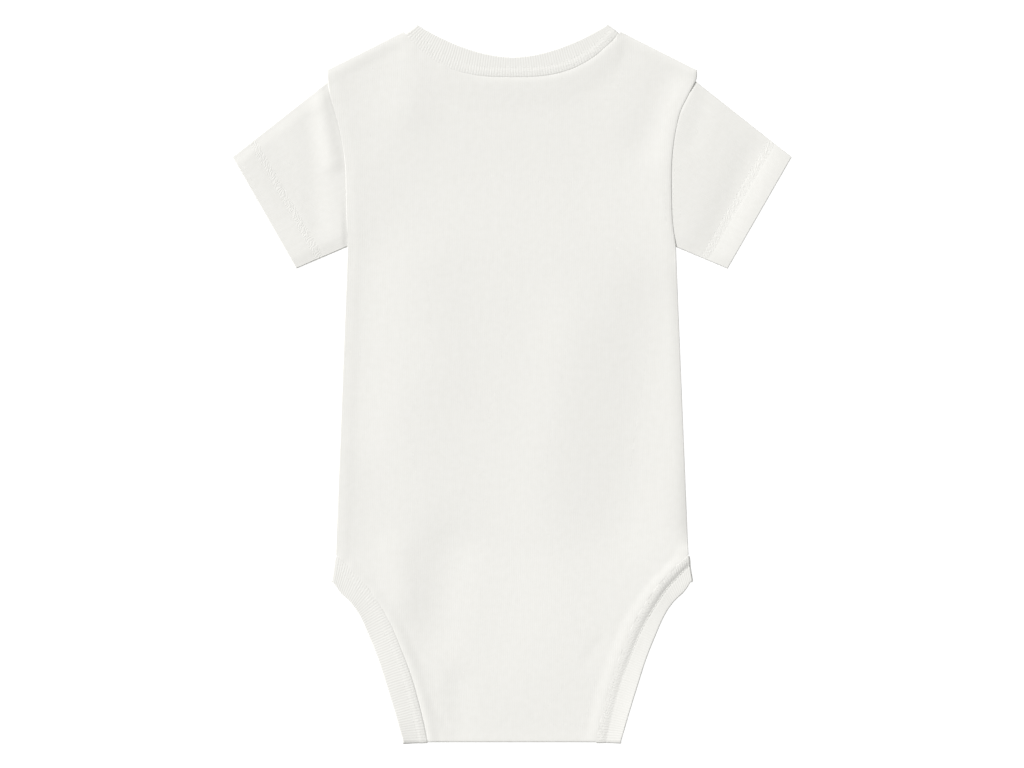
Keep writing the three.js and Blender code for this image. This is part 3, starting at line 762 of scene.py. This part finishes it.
def sleeve_points(side, across, place, up, face):
    """Points of a sleeve's wall. up is 1 on its upper layer and -1 below; face is 1 on the outside of
    the wall and -1 on the inside."""
    _, _, _, from_hem = sleeve_plan(side, across, place)
    wall = lerp(HEM_WALL, WALL, smoothstep(from_hem, 3, HEM_DEPTH + 10))
    by_fold = np.minimum(across, 1 - across) * SLEEVE_WIDTH
    kept = lerp(0.75, SLEEVE_PRESS[side], smoothstep(across, 0.3, 0.7))
    full = rounded(by_fold, 0.6) * lerp(kept, 1, smoothstep(by_fold, 0, 9))
    inset = wall * (1 - face) / 2 / SLEEVE_WIDTH
    x, y, from_armhole, _ = sleeve_plan(side, lerp(inset, 1 - inset, across), place)
    slit = lerp(SLEEVE_SLIT[side], SLEEVE_SLIT["hem"], smoothstep(from_armhole, 8, 45))
    half = slit / 2 + wall * (1 + face) / 2
    middle = slit / 2 + wall / 2
    grooves = sum(0.04 * np.exp(-(((from_hem - row) / 0.9) ** 2)) for row in HEM_ROWS)
    height = (lerp(middle, half, rounded(from_hem, 0.45)) - grooves * (face > 0)) * full
    under_panel = 1 - smoothstep(from_armhole, SLEEVE_TUCK - 1.9, SLEEVE_TUCK - 0.8)
    raised = creases(SLEEVE_FOLDS[side], x, y) * smoothstep(from_armhole, 2.5, 6.5) * full
    raised = raised - 0.7 * under_panel * full
    return np.stack([x, y, wall + slit / 2 + up * height + raised * (up > 0)], -1)


def sleeve(side, material):
    edge = SLEEVE_EDGE / SLEEVE_WIDTH
    across = np.concatenate([edge, np.linspace(edge[-1], 1 - edge[-1], 56)[1:-1], 1 - edge[::-1]])
    hem_lip = 2 - np.array([0.05, 0.035, 0.022, 0.012, 0.005, 0.001, 0])
    places = np.concatenate([np.linspace(0, 0.95, 26), np.linspace(0.97, 1.9, 30), hem_lip])
    walk = np.concatenate([places, places[::-1]])
    face = np.concatenate([np.ones(len(places)), -np.ones(len(places))])
    rings = []
    for place, side_of_wall in zip(walk, face):
        top = sleeve_points(side, across, place, 1, side_of_wall)
        bottom = sleeve_points(side, across, place, -1, side_of_wall)
        rings.append(np.vstack([top, bottom[::-1][1:-1]]))
    rings = np.array(rings)
    both = np.concatenate([across, across[::-1][1:-1]])
    _, _, _, from_hem = sleeve_plan(side, both[None], walk[:, None])
    uvs = np.stack([np.broadcast_to(both * SLEEVE_WIDTH, from_hem.shape), from_hem], -1)
    piece = skin(f"{side}_sleeve_cloth", rings, uvs, True, material)
    2 * plan_area(*sleeve_plan(side, across[None], places[:, None])[:2])
    return piece


def hem_row(side, up, row):
    """Points and outward directions of a needle row on a sleeve's hem."""
    across = np.linspace(0.02, 0.98, 200)
    place = np.full(len(across), 2 - row / HEM_DEPTH)
    points = sleeve_points(side, across, place, up, 1)
    return points, np.tile(np.array([0, 0, float(up)]), (len(points), 1))


# Thread: each stitch dips into the cloth at its ends


def stitches(name, rows, material):
    """Rows of machine stitches joined in one mesh. A row is its points and outward directions."""
    reach = np.array([-0.44, -0.32, 0, 0.32, 0.44]) * STITCH_PITCH
    lift = np.array([-0.22, -0.1, -0.04, -0.1, -0.22])
    radius = np.array([0.5, 0.85, 1, 0.85, 0.5]) * THREAD_RADIUS
    turn = np.arange(6) * math.pi / 3
    points, faces, uvs = [], [], []
    for path, out in rows:
        steps = np.linalg.norm(np.diff(path, axis=0), axis=1)
        lengths = np.concatenate([[0], np.cumsum(steps)])
        centres = np.arange(STITCH_PITCH / 2, lengths[-1] - STITCH_PITCH / 2, STITCH_PITCH)
        at = centres[:, None] + reach

        def sample(values):
            return np.stack([np.interp(at, lengths, values[:, k]) for k in range(3)], -1)

        spine, normal = sample(path), sample(out)
        normal /= np.linalg.norm(normal, axis=2, keepdims=True)
        along = np.gradient(spine, axis=1)
        sideways = np.cross(along, normal)
        sideways /= np.linalg.norm(sideways, axis=2, keepdims=True)
        spine = spine + normal * lift[:, None]
        ring = (
            sideways[:, :, None] * np.cos(turn)[:, None] + normal[:, :, None] * np.sin(turn)[:, None]
        ) * radius[:, None, None]
        count = len(centres)
        first = sum(len(p) for p in points) + np.arange(count)[:, None, None] * 30
        tube = grid_faces(5, 6, False)[None] + first
        caps = np.array([[0, 1, 2, 3], [0, 3, 4, 5], [27, 26, 25, 24], [29, 28, 27, 24]])[None] + first
        points.append((spine[:, :, None] + ring).reshape(-1, 3))
        faces += [tube.reshape(-1, 4), caps.reshape(-1, 4)]
        place = np.stack(np.broadcast_arrays(at[..., None], np.zeros(6)), -1)
        uvs.append(place.reshape(-1, 2))
    points, faces = np.vstack(points), np.vstack(faces)
    return mesh_object(name, points, facing_out(points, faces), np.vstack(uvs), material)


# Snaps


def snap_cap(name, x, material):
    """The outer cap of a snap: a low disc with a rounded rim and a shallow ring pressed into it."""
    bpy.ops.object.select_all(action="DESELECT")
    centre = (x * MM, SNAP["y"] * MM, SNAP["height"] * MM / 2)
    bpy.ops.mesh.primitive_cylinder_add(
        vertices=64, radius=SNAP["radius"] * MM, depth=SNAP["height"] * MM, location=centre
    )
    cap = bpy.context.object
    cap.name = cap.data.name = name
    bpy.ops.object.transform_apply(location=True, rotation=True, scale=True)
    for polygon in cap.data.polygons:
        polygon.select = polygon.normal.z < -0.5
    bpy.ops.object.mode_set(mode="EDIT")
    bpy.ops.mesh.select_mode(type="FACE")
    bpy.ops.mesh.inset(thickness=SNAP["rim"] * MM)
    bpy.ops.mesh.inset(thickness=SNAP["ring"] * MM)
    bpy.ops.transform.translate(value=(0, 0, SNAP["pressed"] * MM))
    bpy.ops.object.mode_set(mode="OBJECT")
    bevel = cap.modifiers.new("rim", "BEVEL")
    bevel.width = SNAP["rounding"] * MM
    bevel.segments = 3
    bevel.limit_method = "ANGLE"
    bpy.ops.object.modifier_apply(modifier=bevel.name)
    bpy.ops.object.shade_smooth()
    cap.data.materials.append(material)
    return cap


# Materials


def linear(hex_colour):
    """A colour in linear light, from its sRGB hex value."""
    parts = [int(hex_colour[i : i + 2], 16) / 255 for i in (1, 3, 5)]
    return tuple(c / 12.92 if c <= 0.04045 else ((c + 0.055) / 1.055) ** 2.4 for c in parts) + (1,)


def add_node(tree, kind, inputs, **settings):
    """A new shader node. settings are its own properties. inputs fills or links its sockets, in order or
    by name, and a node given there is linked by its first output."""
    node = tree.nodes.new(f"ShaderNode{kind}")
    for key, value in settings.items():
        setattr(node, key, value)
    for socket, value in inputs.items() if isinstance(inputs, dict) else enumerate(inputs):
        source = value.outputs[0] if isinstance(value, bpy.types.Node) else value
        if isinstance(source, bpy.types.NodeSocket):
            tree.links.new(source, node.inputs[socket])
        else:
            node.inputs[socket].default_value = source
    return node


def new_material(name, **values):
    """A material, the tree of its nodes and its shader, with the shader's even values set."""
    material = bpy.data.materials.new(name)
    material.use_nodes = True
    shader = material.node_tree.nodes["Principled BSDF"]
    for socket, value in values.items():
        shader.inputs[socket.replace("_", " ").replace("Ior", "IOR")].default_value = value
    return material, material.node_tree, shader


def give_finish(tree, shader, relief, tone, dark, light, depth=0.03, strength=0.8):
    """Gives a shader its fine relief, depth in mm, and its tone from dark to light. Both are given as a
    base and the patterns that come on top of it, with their weights."""
    sums = []
    for total, patterns in (relief, tone):
        for pattern, weight in patterns:
            total = add_node(tree, "Math", [pattern, weight, total], operation="MULTIPLY_ADD")
        sums.append(total)
    bump = add_node(tree, "Bump", dict(Height=sums[0], Distance=depth * MM, Strength=strength))
    shade = add_node(tree, "Mix", {0: sums[1], 6: dark, 7: light}, data_type="RGBA")
    tree.links.new(shade.outputs[2], shader.inputs["Base Color"])
    tree.links.new(bump.outputs["Normal"], shader.inputs["Normal"])


COTTON = dict(Roughness=0.95, Sheen_Weight=0.1, Sheen_Roughness=0.6, Specular_Ior_Level=0.25)
PALE, BRIGHT = linear("#e6e5e0"), linear("#eeede9")
# Patches of cloth about 4 mm across lie a little unevenly, and fibres make it fuzzy at 0.5 mm
PATCHES, FUZZ = 260.0, 1800.0


def cotton_jersey(name, needle_rows=None):
    """Fine cotton jersey, knitted flat: matte, with upright columns of small loops and a slight
    unevenness of the yarn along them. Between a hem's needle rows it puckers at every stitch."""
    material, tree, shader = new_material(name, **COTTON)
    add = partial(add_node, tree)
    cloth = add("UVMap", {}, uv_map="cloth")
    place = add("SeparateXYZ", [cloth]).outputs
    # Real columns are 0.7 mm apart, too fine for the picture, and are drawn 1.2 mm apart
    wale, course = 1.2 * MM, 1.0 * MM
    wander = add("TexNoise", dict(Vector=cloth, Scale=110.0, Detail=2.0))
    shifted = add("Math", [wander, 2.2 * MM, place["X"]], operation="MULTIPLY_ADD")
    across = add("Math", [shifted, wale / 2], operation="PINGPONG")
    half_turn = add("Math", [across, math.pi / wale], operation="MULTIPLY")
    column = add("Math", [half_turn], operation="SINE")
    lean = add("Math", [across, 2 * math.pi / wale], operation="MULTIPLY")
    turn = add("Math", [place["Y"], 2 * math.pi / course, lean], operation="MULTIPLY_ADD")
    loops = add("Math", [turn], operation="SINE")
    stretched = add("Mapping", dict(Vector=cloth, Scale=(900, 60, 1)))
    yarn = add("TexNoise", dict(Vector=stretched, Scale=1.0, Detail=3.0))
    uneven = add("TexNoise", dict(Vector=cloth, Scale=PATCHES, Detail=2.0))
    fuzz = add("TexNoise", dict(Vector=cloth, Scale=FUZZ, Detail=2.0))
    relief = [(column, 0.8), (loops, 0.22), (yarn, 0.6), (uneven, 1.7), (fuzz, 0.5)]
    if needle_rows:
        relief.append((stitch_puckers(tree, place, uneven, needle_rows), 1.6))
    tone = [(yarn, 0.4), (column, 0.12), (uneven, 0.7)]
    give_finish(tree, shader, (0.0, relief), (-0.15, tone), PALE, BRIGHT)
    return material


# The puckers lean by this share of their way across the rows, wander by so many mm, and reach this
# much past the two rows together
PUCKER_LEAN = 0.8
PUCKER_WANDER = 9
PUCKER_REACH = 0.8


def stitch_puckers(tree, place, uneven, needle_rows):
    """Small slanting puckers, from -1 to 1, that the stitches draw in between two needle rows."""
    add = partial(add_node, tree)
    middle = sum(needle_rows) / 2 * MM
    reach = (needle_rows[1] - needle_rows[0] + PUCKER_REACH) / 2 * MM
    off = add("Math", [add("Math", [place["Y"], middle], operation="SUBTRACT")], operation="ABSOLUTE")
    fading = add("Math", [add("Math", [off, reach], operation="DIVIDE"), 4.0], operation="POWER")
    inside = add("Math", [add("Math", [1.0, fading], operation="SUBTRACT"), 0.0], operation="MAXIMUM")
    leaning = add("Math", [place["Y"], PUCKER_LEAN, place["X"]], operation="MULTIPLY_ADD")
    slanted = add("Math", [uneven, PUCKER_WANDER * MM, leaning], operation="MULTIPLY_ADD")
    turn = add("Math", [slanted, 2 * math.pi / (STITCH_PITCH * MM)], operation="MULTIPLY")
    return add("Math", [inside, add("Math", [turn], operation="SINE")], operation="MULTIPLY")


def cotton_rib():
    """Cotton rib of the bindings, folded over the edge: its fine ribs run across the band, and it
    puckers at every stitch between its two needle rows."""
    material, tree, shader = new_material("cotton_rib", **COTTON)
    add = partial(add_node, tree)
    cloth = add("UVMap", {}, uv_map="cloth")
    place = add("SeparateXYZ", [cloth]).outputs
    # Real ribs are 1 mm apart, too fine for the picture, and are drawn 1.5 mm apart
    rib = 1.5 * MM
    wander = add("TexNoise", dict(Vector=cloth, Scale=80.0, Detail=2.0))
    shifted = add("Math", [wander, 1.2 * MM, place["X"]], operation="MULTIPLY_ADD")
    turn = add("Math", [shifted, 2 * math.pi / rib], operation="MULTIPLY")
    ribs = add("Math", [turn], operation="SINE")
    stretched = add("Mapping", dict(Vector=cloth, Scale=(700, 90, 1)))
    yarn = add("TexNoise", dict(Vector=stretched, Scale=1.0, Detail=3.0))
    uneven = add("TexNoise", dict(Vector=cloth, Scale=PATCHES, Detail=2.0))
    fuzz = add("TexNoise", dict(Vector=cloth, Scale=FUZZ, Detail=2.0))
    puckered = stitch_puckers(tree, place, uneven, BINDING_ROWS)
    relief = [(yarn, 1.2), (fuzz, 0.6), (uneven, 2.0), (puckered, 0.8)]
    give_finish(tree, shader, (ribs, relief), (0.1, [(yarn, 0.7)]), PALE, BRIGHT)
    return material


def sewing_thread():
    """Spun polyester thread, a little smoother and whiter than the cloth, with its twist showing."""
    values = dict(Roughness=0.6, Sheen_Weight=0.05, Specular_Ior_Level=0.4)
    material, tree, shader = new_material("polyester_thread", **values)
    cloth = add_node(tree, "UVMap", {}, uv_map="cloth")
    # The twist is drawn 0.5 mm apart, coarser than the real 0.25 mm. A wave texture of scale 1 has a
    # band every 0.314 of its units
    settings = dict(Vector=cloth, Scale=0.314 / (0.5 * MM), Distortion=0.5)
    twist = add_node(tree, "TexWave", settings, bands_direction="DIAGONAL").outputs["Fac"]
    shades = linear("#e0e0db"), linear("#edede9")
    give_finish(tree, shader, (twist, []), (twist, []), *shades, strength=0.6)
    return material


def enamelled_snap():
    """White enamel on a pressed brass cap: smooth and glossy, very slightly uneven from the dip."""
    values = dict(Roughness=0.3, Coat_Weight=0.4, Coat_Roughness=0.15)
    material, tree, shader = new_material("white_enamel", **values)
    place = add_node(tree, "TexCoord", {}).outputs["Object"]
    dip = add_node(tree, "TexNoise", dict(Vector=place, Scale=700.0, Detail=2.0))
    shades = linear("#ececea"), linear("#f4f4f2")
    give_finish(tree, shader, (dip, []), (dip, []), *shades, depth=0.02, strength=0.5)
    return material


# Studio


def studio():
    """A pale floor, soft light from the upper left, and a camera straight above."""
    bpy.ops.object.select_all(action="DESELECT")
    bpy.ops.mesh.primitive_plane_add(size=6, location=(0, 0, -0.0002))
    floor = bpy.context.object
    floor.name = "floor"
    glow = dict(Emission_Color=(1, 1, 1, 1), Emission_Strength=0.93)
    paper, _, _ = new_material("lit_white_paper", Base_Color=linear("#8a8a8a"), Roughness=1.0, **glow)
    floor.data.materials.append(paper)

    towards = Vector((-0.8, 0.6, 0)).normalized()
    elevation = math.radians(36)
    towards = towards * math.cos(elevation) + Vector((0, 0, math.sin(elevation)))
    lamp = bpy.data.lights.new("key", "SUN")
    lamp.energy = 3.9
    lamp.angle = math.radians(22)
    key = bpy.data.objects.new("key", lamp)
    key.rotation_euler = towards.to_track_quat("Z", "Y").to_euler()
    bpy.context.collection.objects.link(key)
    world = bpy.data.worlds.new("studio")
    world.use_nodes = True
    world.node_tree.nodes["Background"].inputs["Color"].default_value = (0.32, 0.32, 0.32, 1)
    bpy.context.scene.world = world

    lens = bpy.data.cameras.new("camera")
    lens.lens = 100
    lens.sensor_width = 36
    camera = bpy.data.objects.new("camera", lens)
    camera.location = (0, 0, 1.65)
    bpy.context.collection.objects.link(camera)
    bpy.context.scene.camera = camera
    bpy.context.scene.view_settings.view_transform = "Standard"


# The whole bodysuit


def dress(piece, slot, *nodes):
    """Every piece moves with the garment, and the solids that it stands for are hidden. Its finish, slot,
    is not used.
    """
    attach(piece, "root")
    if nodes:
        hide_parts(*nodes)
    return piece


studio()
jersey = cotton_jersey("cotton_jersey")
hemmed_jersey = cotton_jersey("hemmed_cotton_jersey", HEM_ROWS)
rib = cotton_rib()
thread = sewing_thread()
enamel = enamelled_snap()

dress(back_panel(jersey), "jersey", "back_panel")
dress(front_panel(jersey), "jersey", "front_panel")
for side in ("right", "left"):
    rows = [hem_row(side, up, row) for up in (1, -1) for row in HEM_ROWS]
    seams = dress(stitches(f"{side}_hem_stitches", rows, thread), "jersey")
    dress(sleeve(side, hemmed_jersey), "jersey", f"{side}_sleeve")
bands = {"neck": (neck_stations(), True)}
for side in ("right", "left"):
    bands[f"{side}_leg"] = (leg_stations(side), False)
for name, (stations, looped) in bands.items():
    rows = [binding_row(stations, row) for row in BINDING_ROWS]
    seams = dress(stitches(f"{name}_stitches", rows, thread), "rib_binding")
    dress(binding(f"{name}_binding_rib", stations, looped, rib), "rib_binding", f"{name}_binding")
for place in (-1, 0, 1):
    name = f"snap_{place + 2}"
    dress(snap_cap(f"{name}_cap", place * SNAP["spacing"], enamel), "snap", name)
